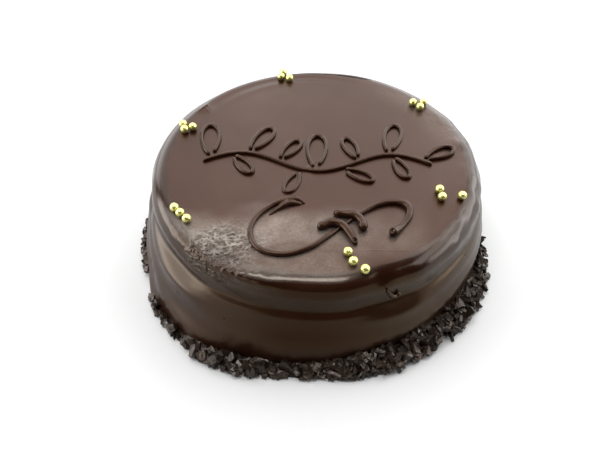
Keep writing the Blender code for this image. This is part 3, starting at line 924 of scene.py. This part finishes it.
# %% [markdown]
# The pearls are sugar balls with a thin metallic coat of pale gold. They are round but
# not perfect, so each is a ball with a slight swell of its own. The skin dips a little
# here and there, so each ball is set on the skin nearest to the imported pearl, and sunk a
# hair into it.

# %% Gold pearls
gold, tree, shader, place = new_finish("gold_pearls", Metallic=0.85)
tree.links.new(mix_colours(tree, place_group(tree, grain_group, place, Scale=500, Detail=2),
                           (0.46, 0.43, 0.14), (0.55, 0.52, 0.19)),
               shader.inputs["Base Color"])
tree.links.new(ramp(tree, place_group(tree, grain_group, place, Scale=700, Detail=2),
                    0.3, 0.7, 0.24, 0.34), shader.inputs["Roughness"])
add_bump(tree, shader, place_group(tree, grain_group, place, Scale=1500, Detail=2), 0.05 * MM)
PEARL_RADIUS, PEARL_SUNK = 2.5 * MM, 0.3 * MM
pearls = sorted(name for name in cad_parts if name.startswith("pearl_"))
for name in pearls:
    _, near, facing, _ = cake.closest_point_on_mesh(middle_of(name))
    centre = near + facing * (PEARL_RADIUS - PEARL_SUNK)
    deselect()
    bpy.ops.mesh.primitive_ico_sphere_add(subdivisions=4, radius=PEARL_RADIUS,
                                          location=centre)
    pearl = bpy.context.object
    pearl.name = "gold_" + name
    bpy.ops.object.transform_apply(location=True, rotation=True, scale=True)
    for corner in pearl.data.vertices:
        away = corner.co - centre
        corner.co = centre + away * (1 + 0.03 * noise.noise(corner.co * 300))
    bpy.ops.object.shade_smooth()
    pearl.data.materials.append(gold)
    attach(pearl, "root")
    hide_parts(name)
print("pearls:", len(pearls))

# %% [markdown]
# The collar is broken dark chocolate pressed on round the foot. Each shard has a
# random tone of its own, and a painted highlight makes its thin edge faces lighter than
# its broad flats; the finish mixes a dark and a pale brown by that value.

# %% Shard finish
def shard_finish(name, dark, pale, low_rough, high_rough):
    material, tree, shader, place = new_finish(name, Specular_IOR_Level=0.32,
                                               Specular_Tint=(1, 0.86, 0.76, 1))
    # per-face value: the shard's own random tone, plus a painted highlight on its thin edges
    tone_and_edge_highlight = add_node(tree, "ShaderNodeAttribute", attribute_name="tone_and_edge_highlight")
    speckle = place_group(tree, grain_group, place, Scale=800, Detail=5)
    share = math_node(tree, "MULTIPLY", tone_and_edge_highlight.outputs["Fac"],
                      ramp(tree, speckle, 0.2, 0.8, 0.6, 1.3))
    tree.links.new(mix_colours(tree, share, dark, pale), shader.inputs["Base Color"])
    tree.links.new(ramp(tree, speckle, 0.3, 0.7, low_rough, high_rough),
                   shader.inputs["Roughness"])
    add_bump(tree, shader, speckle, 0.18 * MM)
    return material


dark_shards = shard_finish("chocolate_shards", (0.0042, 0.0028, 0.0020),
                           (0.031, 0.020, 0.014), 0.27, 0.42)
brown_shards = shard_finish("brown_shards", (0.20, 0.09, 0.045), (0.50, 0.28, 0.16),
                            0.4, 0.6)
print("shard finishes:", dark_shards.name, brown_shards.name)

# %% [markdown]
# Three kinds of shard lie in the collar: thin blades, curls shaved off with a knife,
# and chunks. A particle system could strew them, but its copies aren't real meshes. So
# a few shards of each kind are made once, from a grid thickened by extrusion, and then
# copied. Each has a few dozen faces, since there will be hundreds of them.

# %% Shard shapes
draw = random.Random(11)


def shard_shape(name, length, width, thickness, taper, curl, rough):
    """One broken flake: a grid thickened by extrusion, tapered, curled and roughened.

    curl is the angle in degrees that the flake bends through along its length."""
    deselect()
    bpy.ops.mesh.primitive_grid_add(x_subdivisions=4, y_subdivisions=2, size=1)
    piece = bpy.context.object
    piece.name = name
    bpy.ops.object.mode_set(mode="EDIT")
    bpy.ops.mesh.select_all(action="SELECT")
    bpy.ops.transform.resize(value=(length * MM, width * MM, 1))
    bpy.ops.mesh.extrude_region_move(
        TRANSFORM_OT_translate={"value": (0, 0, thickness * MM)})
    bpy.ops.mesh.select_all(action="SELECT")
    bpy.ops.mesh.normals_make_consistent(inside=False)
    bpy.ops.object.mode_set(mode="OBJECT")
    bend = math.radians(curl)
    for corner in piece.data.vertices:
        along = corner.co.x / (0.5 * length * MM)
        corner.co.y *= 1 - taper * (0.5 + 0.5 * along)
        corner.co += Vector([draw.uniform(-1, 1) * rough * MM * s for s in (1, 0.7, 0.3)])
        radius = length * MM / bend - corner.co.z
        turn = corner.co.x / (length * MM) * bend
        corner.co = Vector((radius * math.sin(turn), corner.co.y,
                            length * MM / bend - radius * math.cos(turn)))
    corners = np.array([corner.co for corner in piece.data.vertices])
    faces = [tuple(face.vertices) for face in piece.data.polygons]
    flats = [min(face.area / (0.2 * length * width * MM * MM), 1) for face in piece.data.polygons]
    bpy.data.objects.remove(piece)
    return corners - corners.mean(0), faces, flats


BLADES = [shard_shape("blade", *sizes) for sizes in (
    (7.0, 3.0, 1.0, 0.45, 18, 0.12), (6.0, 3.4, 1.1, 0.30, 10, 0.14),
    (8.6, 2.8, 0.9, 0.55, 30, 0.12), (5.2, 3.2, 1.1, 0.35, 8, 0.14),
    (7.4, 2.4, 0.9, 0.65, 22, 0.10))]
CURLS = [shard_shape("curl", *sizes) for sizes in (
    (6.4, 2.8, 0.8, 0.2, 110, 0.14), (5.6, 3.4, 0.9, 0.3, 70, 0.18),
    (7.6, 2.4, 0.7, 0.3, 140, 0.12))]
CHUNKS = [shard_shape("chunk", *sizes) for sizes in (
    (3.8, 3.2, 2.2, 0.15, 12, 0.30), (4.6, 3.2, 1.8, 0.25, 15, 0.32),
    (3.0, 2.6, 2.0, 0.20, 10, 0.28))]
print("shard shapes:", len(BLADES), "blades,", len(CURLS), "curls,", len(CHUNKS), "chunks")

# %% [markdown]
# The shards lie thick at the front and right and thin out at the left and the back. A
# table says how wide, how high and how crowded the collar is in each direction. Every
# shard is set on that outline, turned at random from a fixed seed, kept above the floor
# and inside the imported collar's box, and all of one group are joined in one mesh.

# %% Scatter the shards
COLLAR_INNER = LOWER_RADIUS + 0.4 * MM
COLLAR_WIDTH = 112.3 * MM - COLLAR_INNER
COLLAR_HEIGHT = 11.5 * MM
collar_low, collar_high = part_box("shard_collar")
# direction in degrees, share of the collar's width, share of its height, crowding
COLLAR = [(-180, 0.30, 0.50, 0.20), (-163, 0.40, 0.60, 0.35), (-150, 0.32, 0.45, 0.12),
          (-139, 0.30, 0.30, 0.35), (-125, 0.55, 0.25, 0.80), (-113, 0.95, 0.22, 1.00),
          (-103, 0.95, 0.25, 1.00), (-92, 0.80, 0.35, 1.00), (-82, 0.85, 0.55, 1.00),
          (-74, 0.88, 0.85, 1.00),
          (-64, 0.97, 1.00, 1.00), (-40, 1.00, 1.00, 1.00), (-24, 0.90, 1.00, 0.80),
          (-10, 0.55, 0.85, 0.40), (2, 0.32, 0.50, 0.12), (60, 0.30, 0.42, 0.25),
          (120, 0.38, 0.50, 0.30), (180, 0.30, 0.50, 0.20)]
HULL = [(0.0, 1.0), (0.25, 0.95), (0.60, 0.65), (0.95, 0.35), (0.90, 0.05)]


def hull_point(share):
    """Place on the collar's outline: share 0 at the wall's top, 1 at the foot."""
    spot = share * (len(HULL) - 1)
    index = min(int(spot), len(HULL) - 2)
    part = spot - index
    (x0, y0), (x1, y1) = HULL[index], HULL[index + 1]
    place = Vector((x0 + (x1 - x0) * part, y0 + (y1 - y0) * part))
    run = Vector(((x1 - x0) * COLLAR_WIDTH, (y1 - y0) * COLLAR_HEIGHT))
    return place, Vector((-run.y, run.x)).normalized()


def scatter(name, shapes, count, material, sizes, lift, sink, where, downward):
    """Copies of a few shapes set over the collar, all in one mesh.

    where is a range of directions; downward is how much the flakes point down the slope."""
    corners, faces, tones_and_edge_highlights = [], [], []
    start = made = 0
    while made < count:
        degrees = draw.uniform(*where)
        width_share, height_share, crowd = along_table(COLLAR, degrees)
        if draw.random() > crowd:
            continue
        angle = math.radians(degrees)
        spot, facing = hull_point(draw.random())
        spread = spot.x * COLLAR_WIDTH * width_share * min(1.7 * crowd, 1)
        height = spot.y * COLLAR_HEIGHT * height_share
        outward = Vector((math.cos(angle), math.sin(angle), 0))
        around = Vector((-math.sin(angle), math.cos(angle), 0))
        wall = COLLAR_INNER + sideways(angle, height)
        normal = (outward * facing.x + Vector((0, 0, facing.y))).normalized()
        slope = normal.cross(around)
        if slope.z > 0:
            slope.negate()
        turn = draw.gauss(math.pi / 2, 1.2 * (1 - downward) + 0.35)
        axis = around * math.cos(turn) + slope * math.sin(turn)
        rise = math.radians(draw.uniform(-0.3, 1) * lift)
        axis = (axis * math.cos(rise) + normal * math.sin(rise)).normalized()
        side = normal.cross(axis).normalized()
        roll = math.radians(draw.uniform(-1, 1) * (lift + 15))
        side = (side * math.cos(roll) + axis.cross(side) * math.sin(roll)).normalized()
        shape, shape_faces, flats = shapes[draw.randrange(len(shapes))]
        size = draw.uniform(*sizes)
        placed = size * shape @ np.array([axis, side, axis.cross(side)])
        centre = outward * (wall + spread - sink * draw.random() * MM)
        placed += np.array(centre + Vector((*lower_middle, height)))
        placed[:, 2] += max(0.15 * MM - placed[:, 2].min(), 0)
        low, high = placed.min(0), placed.max(0)
        if (low[0] < collar_low.x or high[0] > collar_high.x
                or low[1] < collar_low.y or high[1] > collar_high.y):
            continue
        faces += [tuple(start + index for index in face) for face in shape_faces]
        start += len(shape)
        corners.append(placed)
        # broad flats keep the shard's random tone; thin edge faces are lifted by a painted
        # highlight
        own = draw.random() ** 2
        tones_and_edge_highlights += [0.28 * own * flat + (0.40 + 0.60 * own) * (1 - flat) for flat in flats]
        made += 1
    data = bpy.data.meshes.new(name)
    data.from_pydata(np.concatenate(corners).tolist(), [], faces)
    tone_and_edge_highlight = data.attributes.new("tone_and_edge_highlight", "FLOAT", "FACE")
    tone_and_edge_highlight.data.foreach_set("value", np.array(tones_and_edge_highlights, np.float32))
    piece = bpy.data.objects.new(name, data)
    bpy.context.scene.collection.objects.link(piece)
    data.materials.append(material)
    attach(piece, "root")
    print(name, "has", made, "shards and", len(data.polygons), "faces")
    return piece


scatter("shard_blades", BLADES, 190, dark_shards, (1.05, 1.55), 50, 1.7, (-96, 8), 0.6)
scatter("shard_curls", CURLS, 55, dark_shards, (0.8, 1.25), 30, 1.2, (-150, -75), 0.1)
scatter("shard_flakes", CHUNKS, 75, dark_shards, (1.1, 1.8), 22, 1.2, (-152, -76), 0.1)
scatter("shard_lumps", CHUNKS, 28, dark_shards, (1.2, 1.8), 40, 1.0, (-46, 2), 0.1)
scatter("shard_chunks", CHUNKS, 95, dark_shards, (0.8, 1.2), 40, 0.8, (-180, 180), 0.1)
scatter("brown_bits", CHUNKS, 6, brown_shards, (0.4, 0.7), 30, -0.6, (-120, -20), 0.1)
scatter("left_flakes", CHUNKS, 24, dark_shards, (0.95, 1.45), 30, 0.5, (-187, -156), 0.1)

# %% [markdown]
# Light must not shine through between the shards, so a low dark bed fills the ring
# behind them. It is turned like the cake's skin, with the same table for its width and
# height, and stays smaller than the shards that cover it.

# %% Bed behind the shards
BED = [(-1.5, 0.1), (7.0, 0.1), (6.5, 2.0), (4.0, 5.0), (1.2, 8.5), (-1.5, 8.5), (-1.5, 0.1)]
bed_outline = [(COLLAR_INNER + out * MM, height * MM) for out, height in BED]
bed = turned("shard_bed", bed_outline, 180)
for corner in bed.data.vertices:
    angle = math.atan2(corner.co.y, corner.co.x)
    width_share, height_share, crowd = along_table(COLLAR, math.degrees(angle))
    outward = Vector((math.cos(angle), math.sin(angle), 0))
    covered = smooth_step(0.2, 0.6, crowd)     # where shards are few it hides in the wall
    spread = corner.co.xy.length - COLLAR_INNER
    height = 0.1 * MM
    if corner.co.z > 0.5 * MM:
        height = corner.co.z * height_share * crowd * (1 + 0.25 * noise.noise(corner.co * 250))
        height = max(height, 0.3 * MM)
    if spread > 0:
        spread *= width_share * covered * (1 + 0.3 * noise.noise(corner.co * 300))
    spread -= (1 - covered) * 2.5 * MM
    corner.co = outward * (COLLAR_INNER + sideways(angle, height) + spread) \
        + Vector((*lower_middle, height))
only(bed)
bpy.ops.object.shade_flat()
bed.data.materials.append(dark_shards)
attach(bed, "root")
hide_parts("shard_collar")
print("shard bed:", len(bed.data.polygons), "faces")
